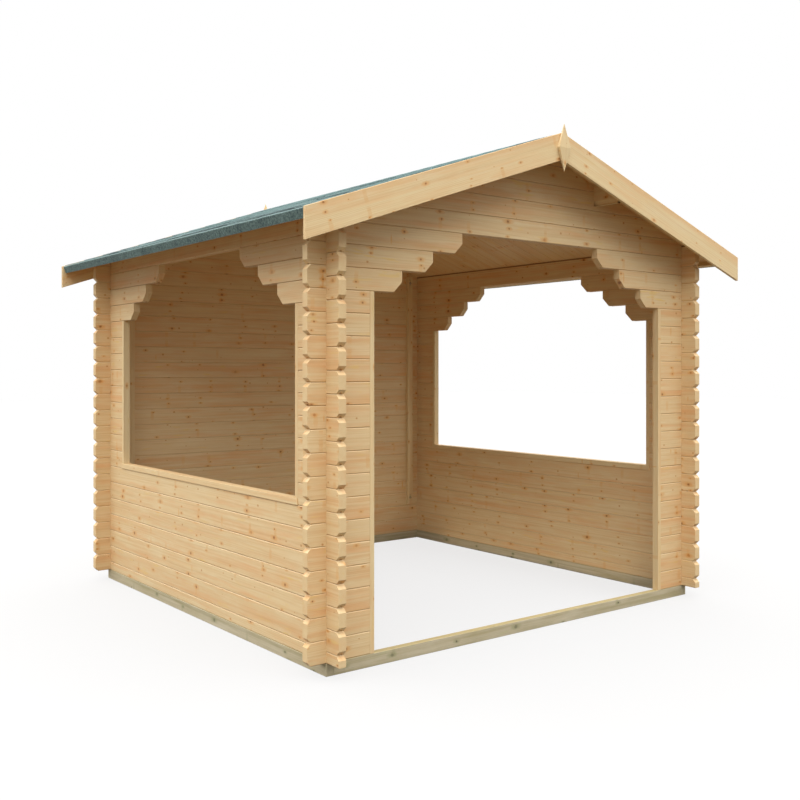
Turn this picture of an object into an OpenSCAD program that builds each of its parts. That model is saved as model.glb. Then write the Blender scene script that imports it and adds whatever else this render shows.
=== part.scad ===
// Garden gazebo of interlocking logs: open front, two open side windows, felted gable roof.
// The ground centre is the origin, +Z is up and the doorway faces -Y.

/* [Logs] */
// Thickness of a wall log
log_t = 44; // [34:1:70]
// Height of wall that one log covers
log_h = 114; // [100:1:140]
// Width of the tongue along the top of a log
tongue_w = 16; // [10:1:22]
// Height of the tongue
tongue_h = 8; // [4:0.5:12]
// Chamfer along the face edges of a log, which makes the V-joint
v_chamfer = 4; // [1:0.5:5]
// Chamfer across the top and bottom of a log's free end
end_chamfer = 22; // [8:1:26]
// Clearance between pieces that lie together
fit = 0.3; // [0.1:0.1:0.6]

/* [Plan] */
// Length of a full front or back log, end to end
front_log_l = 3066; // [2900:1:3600]
// Length of a full side log, end to end
side_log_l = 3066; // [2900:1:3600]
// Reach of a log past the outer face of the wall that it crosses
corner_reach = 108; // [70:1:130]

/* [Courses] */
// Full logs beside the doorway, below its corbels
door_courses = 16; // [14:1:18]
// Corbel logs that step in over each opening
corbel_courses = 3; // [2:1:4]
// Full logs under a window, above the half log
sill_courses = 6; // [4:1:9]

/* [Openings] */
// Wall beside the doorway, from a side wall's inner face to the clear opening
door_side = 245; // [180:1:400]
// Wall beside a window, from a gable wall's inner face to the clear opening
window_side = 245; // [180:1:400]
// Thickness of a jamb board
jamb_t = 28; // [18:1:40]
// How far jambs stand proud of each wall face
trim_proud = 1; // [0:0.5:6]
// How far a window sill stands proud of each wall face
sill_proud = 6; // [1:0.5:10]
// Thickness of a window sill
sill_t = 34; // [18:1:40]
// Reach of each corbel past the log below it
corbel_step = 206; // [120:1:230]

/* [Base beams] */
// Width of a base beam
base_w = 44; // [38:1:100]
// Height of a base beam
base_h = 66; // [40:1:100]

/* [Roof] */
// Pitch of both slopes, in degrees
roof_pitch = 19; // [14:0.5:26]
// Height of an eave log at its inner face
eave_log_h = 142; // [130:1:170]
// Chamfer along the inner top edge of an eave log, under the roof boards
eave_chamfer = 6; // [2:1:12]
// Level run of the roof boards past a side wall's outer face
eave_reach = 242; // [150:1:320]
// Reach of the barge boards past a gable wall's outer face
gable_reach = 225; // [150:1:320]
// Thickness of the roof boards
board_t = 18; // [14:1:28]
// Thickness of the felt shingles
felt_t = 4; // [2:0.5:6]
// Width of an eave batten, along the slope
batten_w = 28; // [20:1:45]
// Depth of an eave batten, square to the slope
batten_h = 30; // [20:1:45]

/* [Purlins] */
// Thickness of a purlin
purlin_t = 44; // [34:1:60]
// Height of a purlin on its centreline
purlin_h = 118; // [90:1:130]
// Distance of the side purlins from the ridge line
purlin_x = 540; // [450:1:700]

/* [Barge boards and finials] */
// Width of a barge board, square to the slope
barge_w = 145; // [110:1:180]
// Thickness of a barge board
barge_t = 20; // [15:1:28]
// Height of a barge board above the felt
barge_proud = 1.5; // [0:0.5:10]
// Run of a barge board past the felt's outer corner
barge_past = 6; // [2:1:30]
// Width of a finial
finial_w = 90; // [60:1:120]
// Height of a finial from tip to tip
finial_h = 265; // [180:1:340]
// Thickness of a finial
finial_t = 20; // [16:1:35]
// Rise of a finial's tip over the barge boards
finial_rise = 46; // [20:1:80]

/* [Storm braces] */
// Width of a storm brace
brace_w = 50; // [40:1:70]
// Thickness of a storm brace
brace_t = 28; // [18:1:40]
// Space between a storm brace's head and the roof boards
brace_head = 32; // [15:1:200]
// Height of a storm brace's foot above the base beams
brace_foot = 245; // [150:5:260]
// Space between a storm brace and the side wall
brace_inset = 75; // [40:1:100]
// Width of the bolt slots in a storm brace
slot_w = 10; // [6:1:14]
// Length of the bolt slots
slot_l = 60; // [30:1:90]
// Distance from a brace's end to the middle of its slot
slot_inset = 55; // [50:1:120]

/* [Hidden] */
// Half distances between the centrelines of opposite walls
half_x = front_log_l / 2 - corner_reach - log_t / 2;
half_y = side_log_l / 2 - corner_reach - log_t / 2;
// Outer faces of the walls
outer_x = half_x + log_t / 2;
outer_y = half_y + log_t / 2;
// Courses where the corbels and the logs over them begin
top_courses = door_courses + corbel_courses;
// Clear widths of the openings, and the ends of the logs beside them
door_w = 2 * (half_x - log_t / 2 - door_side);
window_w = 2 * (half_y - log_t / 2 - window_side);
door_log_end = door_w / 2 + jamb_t;
window_log_end = window_w / 2 + jamb_t;
// Height of a log's faces, and of a log with its tongue
face_h = log_h - fit;
full_h = face_h + tongue_h;
// Slope of the tongue's flanks
tongue_taper = 2;
// Roof: underside at the ridge, and the places of its layers square to the slope
ridge_z = course_z(top_courses - 0.5) + eave_log_h + tan(roof_pitch) * (half_x - log_t / 2);
felt_low = board_t + fit;
felt_top = felt_low + felt_t;
// Distance down the slope from the ridge to the ends of the roof boards
slope_l = (outer_x + eave_reach) / cos(roof_pitch);
felt_end = slope_l + fit + felt_t;
// Barge boards: outer face, apex and ends
barge_y = outer_y + gable_reach;
barge_apex = ridge_z + felt_top / cos(roof_pitch) + barge_proud;
barge_end = slope_point(felt_end, felt_top)[0] + barge_past;
// Length of the pieces that run between the front and back barge boards
roof_l = 2 * (barge_y - barge_t - fit);
// Gable logs above the corbels; a remnant lower than this share of a log is left off
least_apex = 0.15;
gable_courses = ceil((ridge_z - course_z(top_courses)) / log_h - least_apex);
// Storm braces: their places on the gable walls and the length that fits under the roof
brace_x = half_x - log_t / 2 - brace_inset - brace_w / 2;
brace_y = half_y - log_t / 2 - fit - brace_t / 2;
brace_z = course_z(0) + brace_foot;
brace_l = roof_z(brace_x + brace_w / 2) - brace_head - brace_z;
// Cuts run past the faces that they open
past = 1;

spruce = [0.87, 0.73, 0.51];
treated = [0.66, 0.63, 0.50];
felt_green = [0.36, 0.52, 0.53];

// Height of the underside of course k; front and back walls use whole numbers, side walls halves
function course_z(k) = base_h + fit + k * log_h;

// Height of the roof boards' underside at a distance x from the ridge line
function roof_z(x) = ridge_z - tan(roof_pitch) * abs(x);

// Point of the right slope, s down the slope from the ridge and n square to it
function slope_point(s, n) = [
    s * cos(roof_pitch) + n * sin(roof_pitch),
    ridge_z - s * sin(roof_pitch) + n * cos(roof_pitch)
];

// Point over the ridge line at n square to the slopes
function ridge_point(n) = [0, ridge_z + n / cos(roof_pitch)];

// The same outline on the left slope
function mirrored(points) = [for (i = [len(points) - 1 : -1 : 0]) [-points[i][0], points[i][1]]];

// Points of a log's end from its underside to its top; body is the side on which the log lies
function free_end(x, body) = [
    [x + body * end_chamfer, 0],
    [x, end_chamfer],
    [x, face_h - end_chamfer],
    [x + body * (end_chamfer + tongue_h), full_h]
];
function half_log_end(x, body) = [
    [x, 0],
    [x, face_h - log_h / 2 - end_chamfer],
    [x + body * (end_chamfer + tongue_h), full_h - log_h / 2]
];
function eave_end(x, body) = [
    [x + body * end_chamfer, 0],
    [x, end_chamfer],
    [x, 2 * log_h]
];
function square_end(x) = [[x, 0], [x, full_h]];
function corbel_end(x, body) = [[x + body * log_h / 2, 0], [x, log_h / 2], [x, full_h]];

// Side view of a log between two ends
function log_outline(low_end, high_end) = concat(
    low_end,
    [for (i = [len(high_end) - 1 : -1 : 0]) high_end[i]]
);

// Section of a log with face height h, its tongue on top and its groove below
module log_section(h, tongue = true, groove = true) {
    half = log_t / 2;
    tongue_half = tongue_w / 2;
    groove_half = tongue_half + fit;
    groove_top = tongue_h + fit;
    polygon(concat(
        [[-half, v_chamfer], [-half + v_chamfer, 0]],
        groove ? [
            [-groove_half, 0], [-groove_half + tongue_taper, groove_top],
            [groove_half - tongue_taper, groove_top], [groove_half, 0]
        ] : [],
        [[half - v_chamfer, 0], [half, v_chamfer], [half, h - v_chamfer], [half - v_chamfer, h]],
        tongue ? [
            [tongue_half, h], [tongue_half - tongue_taper, h + tongue_h],
            [tongue_taper - tongue_half, h + tongue_h], [-tongue_half, h]
        ] : [],
        [[-half + v_chamfer, h], [-half, h - v_chamfer]]
    ));
}

// Sets a section upright and runs it along X between two places
module run_x(low, high) {
    translate([low, 0, 0])
        rotate([90, 0, 90])
            linear_extrude(high - low)
                children();
}

// Sets an outline in the XZ plane and gives it a depth about Y = 0
module stand_y(depth) {
    translate([0, depth / 2, 0])
        rotate([90, 0, 0])
            linear_extrude(depth)
                children();
}

// Saddle cuts where a log crosses the walls at plus and minus cross
module saddles(cross, below = true, above = true) {
    width = log_t + 2 * fit;
    depth = log_t + 2 * past;
    low_cut = log_h / 4;
    high_cut = 3 * log_h / 4 - fit;
    for (side = [-1, 1]) {
        translate([side * cross - width / 2, -depth / 2, 0]) {
            if (below)
                translate([0, 0, -past])
                    cube([width, depth, low_cut + past]);
            if (above)
                translate([0, 0, high_cut])
                    cube([width, depth, 2 * log_h]);
        }
    }
}

// One log on the X axis with its side view cut to an outline and its crossings saddled
module log(outline, cross) {
    low = min([for (p = outline) p[0]]);
    high = max([for (p = outline) p[0]]);
    difference() {
        intersection() {
            run_x(low - past, high + past)
                log_section(face_h);
            stand_y(log_t + 2 * past)
                polygon(outline);
        }
        saddles(cross);
    }
}

// Half log that starts a side wall
module half_log(reach, cross) {
    difference() {
        intersection() {
            run_x(-reach - past, reach + past)
                log_section(face_h - log_h / 2, groove = false);
            stand_y(log_t + 2 * past)
                polygon(log_outline(half_log_end(-reach, 1), half_log_end(reach, -1)));
        }
        translate([0, 0, -log_h / 2])
            saddles(cross, below = false);
    }
}

// Logs of equal length on courses first to last
module log_stack(first, last, outline, cross) {
    for (k = [first : last])
        translate([0, 0, course_z(k)])
            log(outline, cross);
}

// Corbel logs that reach from one end of a wall into its opening; side picks the end
module corbel_stack(first, reach, start, cross, side) {
    for (i = [0 : corbel_courses - 1]) {
        tip = start - (i + 1) * corbel_step;
        outline = side < 0
            ? log_outline(free_end(-reach, 1), corbel_end(-tip, -1))
            : log_outline(corbel_end(tip, 1), free_end(reach, -1));
        translate([0, 0, course_z(first + i)])
            log(outline, cross);
    }
}

// Space below the roof boards
module under_roof(depth) {
    reach = max(front_log_l, side_log_l);
    stand_y(depth)
        polygon([[-reach, -reach], [reach, -reach], [reach, roof_z(reach) - fit],
                 [0, ridge_z - fit], [-reach, roof_z(reach) - fit]]);
}

// Side view of a purlin at x, with play around it and a top raised by lift
module purlin_outline(x, play = 0, lift = 0) {
    half = purlin_t / 2 + play;
    low = roof_z(x) - purlin_h - play;
    top = lift - fit;
    xs = x == 0 ? [half, 0, -half] : [x + half, x - half];
    polygon(concat(
        [[x - half, low], [x + half, low]],
        [for (place = xs) [place, roof_z(place) + top]]
    ));
}

module purlin(x) {
    stand_y(roof_l)
        purlin_outline(x);
}

// Logs of a gable, cut to the roof and notched round the purlins
module gable_stack() {
    reach = front_log_l / 2;
    depth = log_t + 2 * past;
    for (k = [0 : gable_courses - 1]) {
        difference() {
            intersection() {
                translate([0, 0, course_z(top_courses + k)])
                    if (k == 0)
                        gable_header(reach);
                    else
                        run_x(-reach, reach)
                            log_section(face_h);
                under_roof(depth);
            }
            for (x = [-purlin_x, 0, purlin_x])
                stand_y(depth)
                    purlin_outline(x, fit, log_h);
        }
    }
}

// Lowest gable log, which spans the front and crosses both side walls
module gable_header(reach) {
    difference() {
        intersection() {
            run_x(-reach - past, reach + past)
                log_section(face_h);
            stand_y(log_t + 2 * past)
                polygon(log_outline(free_end(-reach, 1), free_end(reach, -1)));
        }
        saddles(half_x, above = false);
    }
}

// Turns a wall drawn along X into a side wall; side is -1 for left and 1 for right
module side_wall(side) {
    translate([side * half_x, 0, 0])
        rotate([0, 0, 90])
            children();
}

module front_wall() {
    translate([0, -half_y, 0])
        children();
}

module back_wall() {
    translate([0, half_y, 0])
        children();
}

// Base beams: the side beams run through and the others stand between them
module side_base_beam(side) {
    color(treated)
        translate([side * (outer_x - base_w / 2) - base_w / 2, -outer_y, 0])
            cube([base_w, 2 * outer_y, base_h]);
}

module cross_base_beam(side) {
    length = 2 * (outer_x - base_w - fit);
    color(treated)
        translate([-length / 2, side * (outer_y - base_w / 2) - base_w / 2, 0])
            cube([length, base_w, base_h]);
}

// Short logs beside the doorway
module front_wall_logs(side) {
    reach = front_log_l / 2;
    outline = side < 0
        ? log_outline(free_end(-reach, 1), square_end(-door_log_end))
        : log_outline(square_end(door_log_end), free_end(reach, -1));
    color(spruce)
        front_wall()
            log_stack(0, door_courses - 1, outline, half_x);
}

module front_wall_corbels(side) {
    color(spruce)
        front_wall()
            corbel_stack(door_courses, front_log_l / 2, door_log_end, half_x, side);
}

module front_gable_logs() {
    color(spruce)
        front_wall()
            gable_stack();
}

module back_wall_logs() {
    reach = front_log_l / 2;
    color(spruce)
        back_wall()
            log_stack(0, top_courses - 1, log_outline(free_end(-reach, 1), free_end(reach, -1)), half_x);
}

module back_gable_logs() {
    color(spruce)
        back_wall()
            gable_stack();
}

// Half log and full logs under a window
module side_lower_logs(side) {
    reach = side_log_l / 2;
    color(spruce)
        side_wall(side) {
            translate([0, 0, course_z(0)])
                half_log(reach, half_y);
            log_stack(0.5, sill_courses - 0.5, log_outline(free_end(-reach, 1), free_end(reach, -1)), half_y);
        }
}

// Short logs beside a window; end is -1 at the front and 1 at the back
module side_short_logs(side, end) {
    reach = side_log_l / 2;
    outline = end < 0
        ? log_outline(free_end(-reach, 1), square_end(-window_log_end))
        : log_outline(square_end(window_log_end), free_end(reach, -1));
    color(spruce)
        side_wall(side)
            log_stack(sill_courses + 0.5, door_courses - 1.5, outline, half_y);
}

module side_corbels(side, end) {
    color(spruce)
        side_wall(side)
            corbel_stack(door_courses - 0.5, side_log_l / 2, window_log_end, half_y, end);
}

// Log under the eave, with its top cut to the roof's slope
module eave_log(side) {
    reach = side_log_l / 2;
    inner = half_x - log_t / 2;
    edge = sqrt(2) * eave_chamfer;
    color(spruce)
        difference() {
            intersection() {
                side_wall(side)
                    translate([0, 0, course_z(top_courses - 0.5)])
                        difference() {
                            intersection() {
                                run_x(-reach - past, reach + past)
                                    log_section(2 * log_h, tongue = false);
                                stand_y(log_t + 2 * past)
                                    polygon(log_outline(eave_end(-reach, 1), eave_end(reach, -1)));
                            }
                            saddles(half_y);
                        }
                under_roof(side_log_l + 2 * past);
            }
            translate([side * inner, 0, roof_z(inner)])
                rotate([0, 45, 0])
                    cube([edge, side_log_l + 2 * past, edge], center = true);
        }
}

module ridge_purlin() {
    color(spruce)
        purlin(0);
}

module side_purlin(side) {
    color(spruce)
        purlin(side * purlin_x);
}

// Boards of one slope, plumb at the ridge and square at the eave
module roof_boards(side) {
    joint = fit / 2;
    ridge_top = ridge_z + board_t / cos(roof_pitch) - joint * tan(roof_pitch);
    outline = [[joint, roof_z(joint)], slope_point(slope_l, 0), slope_point(slope_l, board_t), [joint, ridge_top]];
    color(spruce)
        stand_y(roof_l)
            polygon(side > 0 ? outline : mirrored(outline));
}

// Felt shingles over both slopes, folded down over the eaves
module roof_shingles() {
    half = [
        slope_point(felt_end - felt_t, felt_low),
        slope_point(felt_end - felt_t, -batten_h),
        slope_point(felt_end, -batten_h),
        slope_point(felt_end, felt_top)
    ];
    color(felt_green)
        stand_y(roof_l)
            polygon(concat([ridge_point(felt_low)], half, [ridge_point(felt_top)], mirrored(half)));
}

module eave_batten(side) {
    outline = [
        slope_point(slope_l - batten_w, -batten_h), slope_point(slope_l, -batten_h),
        slope_point(slope_l, -fit), slope_point(slope_l - batten_w, -fit)
    ];
    color(spruce)
        stand_y(roof_l)
            polygon(side > 0 ? outline : mirrored(outline));
}

// Barge board of one slope, plumb at the apex and at its foot
module barge_board(side, end) {
    drop = barge_w / cos(roof_pitch);
    joint = fit / 2;
    near = barge_apex - tan(roof_pitch) * joint;
    far = barge_apex - tan(roof_pitch) * barge_end;
    outline = [[joint, near - drop], [barge_end, far - drop], [barge_end, far], [joint, near]];
    color(spruce)
        translate([0, end * (barge_y - barge_t / 2), 0])
            stand_y(barge_t)
                polygon(side > 0 ? outline : mirrored(outline));
}

// Diamond over the joint of two barge boards
module finial(end) {
    tip = barge_apex + finial_rise;
    middle = tip - finial_h / 2;
    color(spruce)
        translate([0, end * (barge_y + fit + finial_t / 2), 0])
            stand_y(finial_t)
                polygon([[0, tip - finial_h], [finial_w / 2, middle], [0, tip], [-finial_w / 2, middle]]);
}

// Boards on the log ends at both sides of an opening on the X axis
module jamb_pair(clear, low, high) {
    depth = log_t + 2 * trim_proud;
    for (side = [-1, 1])
        translate([side * (clear + jamb_t - fit) / 2 - (jamb_t - fit) / 2, -depth / 2, low])
            cube([jamb_t - fit, depth, high - low]);
}

module door_jambs() {
    color(spruce)
        front_wall()
            jamb_pair(door_w, course_z(0), course_z(door_courses) - fit);
}

// Height of a window sill's top
function sill_top() = course_z(sill_courses + 0.5) + sill_t;

module window_jambs(side) {
    color(spruce)
        side_wall(side)
            jamb_pair(window_w, sill_top() + fit, course_z(door_courses - 0.5) - fit);
}

// Sill board with a groove over the tongue of the log that carries it
module window_sill(side) {
    half = log_t / 2 + sill_proud;
    groove_half = tongue_w / 2 + fit;
    reach = window_log_end - fit;
    color(spruce)
        side_wall(side)
            translate([0, 0, course_z(sill_courses + 0.5)])
                run_x(-reach, reach)
                    polygon([
                        [-half, 0], [-groove_half, 0], [-groove_half + tongue_taper, tongue_h + fit],
                        [groove_half - tongue_taper, tongue_h + fit], [groove_half, 0], [half, 0],
                        [half, sill_t], [-half, sill_t]
                    ]);
}

// Slot through a storm brace, long in Z, about its own middle
module bolt_slot() {
    straight = slot_l - slot_w;
    depth = brace_t + 2 * past;
    translate([-slot_w / 2, -depth / 2, -straight / 2])
        cube([slot_w, depth, straight]);
    for (end = [-1, 1])
        translate([0, depth / 2, end * straight / 2])
            rotate([90, 0, 0])
                cylinder(h = depth, d = slot_w, $fn = 32);
}

// Battens up the inside of the gable walls, bolted through slots so that the logs can settle
module storm_braces() {
    color(spruce)
        for (x = [-brace_x, brace_x], y = [-brace_y, brace_y])
            translate([x, y, brace_z])
                difference() {
                    translate([-brace_w / 2, -brace_t / 2, 0])
                        cube([brace_w, brace_t, brace_l]);
                    for (z = [slot_inset, brace_l - slot_inset])
                        translate([0, 0, z])
                            bolt_slot();
                }
}

cross_base_beam(-1);  // front_base_beam
cross_base_beam(1);  // back_base_beam
side_base_beam(-1);  // left_base_beam
side_base_beam(1);  // right_base_beam
front_wall_logs(-1);  // front_wall_left_logs
front_wall_logs(1);  // front_wall_right_logs
front_wall_corbels(-1);  // front_wall_left_corbels
front_wall_corbels(1);  // front_wall_right_corbels
front_gable_logs();
back_wall_logs();
back_gable_logs();
side_lower_logs(-1);  // left_wall_lower_logs
side_short_logs(-1, -1);  // left_wall_front_logs
side_short_logs(-1, 1);  // left_wall_back_logs
side_corbels(-1, -1);  // left_wall_front_corbels
side_corbels(-1, 1);  // left_wall_back_corbels
eave_log(-1);  // left_eave_log
side_lower_logs(1);  // right_wall_lower_logs
side_short_logs(1, -1);  // right_wall_front_logs
side_short_logs(1, 1);  // right_wall_back_logs
side_corbels(1, -1);  // right_wall_front_corbels
side_corbels(1, 1);  // right_wall_back_corbels
eave_log(1);  // right_eave_log
ridge_purlin();
side_purlin(-1);  // left_purlin
side_purlin(1);  // right_purlin
roof_boards(-1);  // left_roof_boards
roof_boards(1);  // right_roof_boards
roof_shingles();
eave_batten(-1);  // left_eave_batten
eave_batten(1);  // right_eave_batten
barge_board(-1, -1);  // front_left_barge_board
barge_board(1, -1);  // front_right_barge_board
barge_board(-1, 1);  // back_left_barge_board
barge_board(1, 1);  // back_right_barge_board
finial(-1);  // front_finial
finial(1);  // back_finial
door_jambs();
window_jambs(-1);  // left_window_jambs
window_jambs(1);  // right_window_jambs
window_sill(-1);  // left_window_sill
window_sill(1);  // right_window_sill
storm_braces();
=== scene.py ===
"""Looks of the log gazebo: spruce logs, treated base beams, felt shingles and the studio around them."""

import logging
import math
from dataclasses import dataclass, field, replace
from enum import Enum
from typing import Any, Callable, Dict, Iterable, List, Mapping, Optional, Sequence, Tuple, Union

import bmesh
import bpy
from bpy.types import Material, Mesh, Node, NodeSocket, Object
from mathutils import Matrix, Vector, noise

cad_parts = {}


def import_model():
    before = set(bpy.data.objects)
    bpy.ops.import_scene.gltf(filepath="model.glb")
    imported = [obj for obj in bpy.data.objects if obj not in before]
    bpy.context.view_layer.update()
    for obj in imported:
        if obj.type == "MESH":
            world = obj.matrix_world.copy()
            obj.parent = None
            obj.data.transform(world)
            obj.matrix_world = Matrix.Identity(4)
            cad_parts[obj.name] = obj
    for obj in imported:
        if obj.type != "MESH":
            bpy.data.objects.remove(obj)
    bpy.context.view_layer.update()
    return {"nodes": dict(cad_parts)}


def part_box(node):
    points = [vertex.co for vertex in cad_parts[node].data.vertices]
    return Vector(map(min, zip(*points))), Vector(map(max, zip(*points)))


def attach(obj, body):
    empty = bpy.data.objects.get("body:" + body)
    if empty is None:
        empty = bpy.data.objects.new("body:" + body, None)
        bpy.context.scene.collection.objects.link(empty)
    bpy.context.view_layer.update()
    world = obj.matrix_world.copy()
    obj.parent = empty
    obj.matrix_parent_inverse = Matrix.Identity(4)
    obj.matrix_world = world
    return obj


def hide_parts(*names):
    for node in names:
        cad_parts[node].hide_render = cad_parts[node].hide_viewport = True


LOG = logging.getLogger("gazebo")
BODY = "root"
ROOF_PITCH = math.radians(19.0)
SIDES = ("left", "right")
ENDS = ("front", "back")
Colour = Tuple[float, float, float]
Point = Tuple[float, float, float]


class Grain(Enum):
    """The way that the fibres of a piece of wood run."""

    ALONG_X = "along x"
    ALONG_Y = "along y"
    ALONG_Z = "along z"
    RIGHT_SLOPE = "down the right slope"
    LEFT_SLOPE = "down the left slope"
    BARGE = "down both slopes on edge"


LEVEL_GRAINS = (Grain.ALONG_X, Grain.ALONG_Y)


def maths_method(operation: str) -> Callable[..., "Value"]:
    """Makes a method that adds a Math node.

    Args:
        operation: Blender's name of the operation.

    Returns:
        The method, which takes the other value where there is one.
    """

    def method(self: "Value", other: Any = 0.0) -> "Value":
        """Adds the node and returns its result."""
        return self.graph.maths(operation, self, other)

    return method


class Value:
    """A number socket of a shader; an expression on it adds Math nodes."""

    def __init__(self, graph: "Graph", socket: NodeSocket) -> None:
        """Keeps the socket and the graph that it belongs to."""
        self.graph = graph
        self.socket = socket

    __add__ = __radd__ = maths_method("ADD")
    __sub__ = maths_method("SUBTRACT")
    __mul__ = __rmul__ = maths_method("MULTIPLY")
    __truediv__ = maths_method("DIVIDE")
    __pow__ = maths_method("POWER")
    __gt__ = maths_method("GREATER_THAN")
    __lt__ = maths_method("LESS_THAN")
    __abs__ = maths_method("ABSOLUTE")
    floor = maths_method("FLOOR")
    sine = maths_method("SINE")
    root = maths_method("SQRT")

    def __rsub__(self, other: Any) -> "Value":
        """Difference from a number."""
        return self.graph.maths("SUBTRACT", other, self)

    def step(self, low: float, high: float) -> "Value":
        """Smooth rise from 0 at low to 1 at high, or a fall where low is the greater.

        Args:
            low: Where the result is 0.
            high: Where the result is 1.

        Returns:
            The eased value.
        """
        limits = {1: min(low, high), 2: max(low, high), 3: float(high < low), 4: float(high > low)}
        node = self.graph.node(
            "ShaderNodeMapRange", {"interpolation_type": "SMOOTHSTEP"}, {"Value": self, **limits}
        )
        return Value(self.graph, node.outputs[0])


Three = Tuple[Value, Value, Value]
Link = Union[Value, NodeSocket, float, int, Sequence[float]]


class NodeSet:
    """A node tree that is built node by node."""

    def __init__(self, tree: bpy.types.NodeTree) -> None:
        """Keeps the tree and empties it."""
        self.tree = tree
        tree.nodes.clear()

    def node(
        self,
        kind: str,
        settings: Optional[Mapping[str, Any]] = None,
        inputs: Optional[Mapping[Any, Any]] = None,
    ) -> Node:
        """Adds one node.

        Args:
            kind: Blender's name of the node's type.
            settings: The node's own properties.
            inputs: Values or links of its sockets by name or number.

        Returns:
            The node.
        """
        made = self.tree.nodes.new(kind)
        for key, value in (settings or {}).items():
            setattr(made, key, value)
        for key, value in (inputs or {}).items():
            self.feed(made.inputs[key], value)
        return made

    def feed(self, socket: NodeSocket, value: Any) -> None:
        """Links a socket, or sets its own value.

        Args:
            socket: The input to fill.
            value: A wrapped value, a socket, or what the socket itself can hold.
        """
        value = value.socket if isinstance(value, Value) else value
        if isinstance(value, NodeSocket):
            self.tree.links.new(value, socket)
        elif isinstance(value, tuple) and len(socket.default_value) > len(value):
            socket.default_value = (*value, 1.0)
        else:
            socket.default_value = value


class Graph(NodeSet):
    """The node tree of one material."""

    def __init__(self, name: str) -> None:
        """Makes an empty material of that name."""
        self.material = bpy.data.materials.new(name)
        self.material.use_nodes = True
        super().__init__(self.material.node_tree)

    def maths(self, operation: str, first: Link, second: Link = 0.0) -> Value:
        """Adds a Math node and returns its result."""
        node = self.node("ShaderNodeMath", {"operation": operation}, {0: first, 1: second})
        return Value(self, node.outputs[0])

    def split(self, socket: NodeSocket) -> Three:
        """The three parts of a vector."""
        parts = self.node("ShaderNodeSeparateXYZ", None, {0: socket})
        return tuple(Value(self, parts.outputs[i]) for i in range(3))

    def place(self, turn: float = 0.0) -> Three:
        """Object coordinates in metres.

        Args:
            turn: Angle in radians by which the pattern is turned about Y.

        Returns:
            X, Y and Z.
        """
        socket = self.node("ShaderNodeTexCoord").outputs["Object"]
        if turn:
            turned = {"Vector": socket, "Angle": turn}
            socket = self.node("ShaderNodeVectorRotate", {"rotation_type": "Y_AXIS"}, turned).outputs[0]
        return self.split(socket)

    def normal(self) -> Three:
        """The surface's direction in the object's frame."""
        return self.split(self.node("ShaderNodeTexCoord").outputs["Normal"])

    def vector(self, x: Link, y: Link, z: Link = 0.0) -> NodeSocket:
        """A vector from three values."""
        return self.node("ShaderNodeCombineXYZ", None, {0: x, 1: y, 2: z}).outputs[0]

    def noise(self, place: Link, scale: float = 1.0, detail: float = 2.0, rough: float = 0.55) -> Value:
        """Soft noise from 0 to 1 with so many features to the unit."""
        inputs = {"Vector": place, "Scale": scale, "Detail": detail, "Roughness": rough}
        return Value(self, self.node("ShaderNodeTexNoise", {"noise_dimensions": "3D"}, inputs).outputs[0])

    def parts(self, colour: NodeSocket) -> Three:
        """The three parts of a colour, as numbers from 0 to 1."""
        node = self.node("ShaderNodeSeparateColor", None, {0: colour})
        return tuple(Value(self, node.outputs[i]) for i in range(3))

    def cells(self, place: Link) -> Three:
        """Scattered points of a plane.

        Args:
            place: Where it is read, one point to the square unit.

        Returns:
            Distance to the nearest point, and two random numbers that belong to it.
        """
        settings = {"voronoi_dimensions": "2D", "feature": "F1"}
        node = self.node("ShaderNodeTexVoronoi", settings, {"Vector": place, "Scale": 1.0})
        luck, live, _ = self.parts(node.outputs["Color"])
        return Value(self, node.outputs["Distance"]), luck, live

    def chance(self, seed: Link) -> Three:
        """Three random numbers from 0 to 1 that belong to a seed."""
        node = self.node("ShaderNodeTexWhiteNoise", {"noise_dimensions": "1D"}, {"W": seed})
        return self.parts(node.outputs["Color"])

    def mix(self, first: Link, second: Link, share: Link) -> NodeSocket:
        """Mixes two colours by the share of the second."""
        settings = {"data_type": "RGBA", "clamp_factor": True}
        return self.node("ShaderNodeMix", settings, {0: share, 6: first, 7: second}).outputs[2]

    def close(
        self,
        colour: Link,
        roughness: Link,
        height: Value,
        depth: float,
        metal: float = 0.0,
        specular: float = 0.5,
    ) -> Material:
        """Ends the graph in a surface.

        Args:
            colour: Base colour.
            roughness: Roughness.
            height: Relief from 0 to 1.
            depth: Depth of the relief in metres.
            metal: Metallic share.
            specular: Strength of the reflection.

        Returns:
            The material.
        """
        bump = self.node("ShaderNodeBump", None, {"Height": height, "Distance": depth, "Strength": 1.0})
        inputs: Dict[str, Any] = {"Base Color": colour, "Roughness": roughness, "Metallic": metal}
        inputs.update({"Specular IOR Level": specular, "Normal": bump.outputs[0]})
        surface = self.node("ShaderNodeBsdfPrincipled", None, inputs)
        self.node("ShaderNodeOutputMaterial", None, {"Surface": surface.outputs[0]})
        return self.material


@dataclass(frozen=True)
class Rise:
    """A smooth rise or fall of a value between two limits, and the share that it brings."""

    low: float
    high: float
    share: float = 1.0

    def of(self, value: Value) -> Value:
        """The share that a value brings."""
        return value.step(self.low, self.high) * self.share


@dataclass(frozen=True)
class Pattern:
    """Noise in wood, drawn out along the fibres."""

    along: float
    across: float
    detail: float = 2.0
    rough: float = 0.55
    shift_along: float = 0.0
    shift_across: float = 0.0

    def of(self, graph: Graph, run: Value, wide: Value, depth: Value) -> Value:
        """The noise at a place along the fibres, across the face and through the thickness."""
        x, y = run * self.along + self.shift_along, wide * self.across + self.shift_across
        return graph.noise(graph.vector(x, y, depth * self.across), 1.0, self.detail, self.rough)


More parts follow.
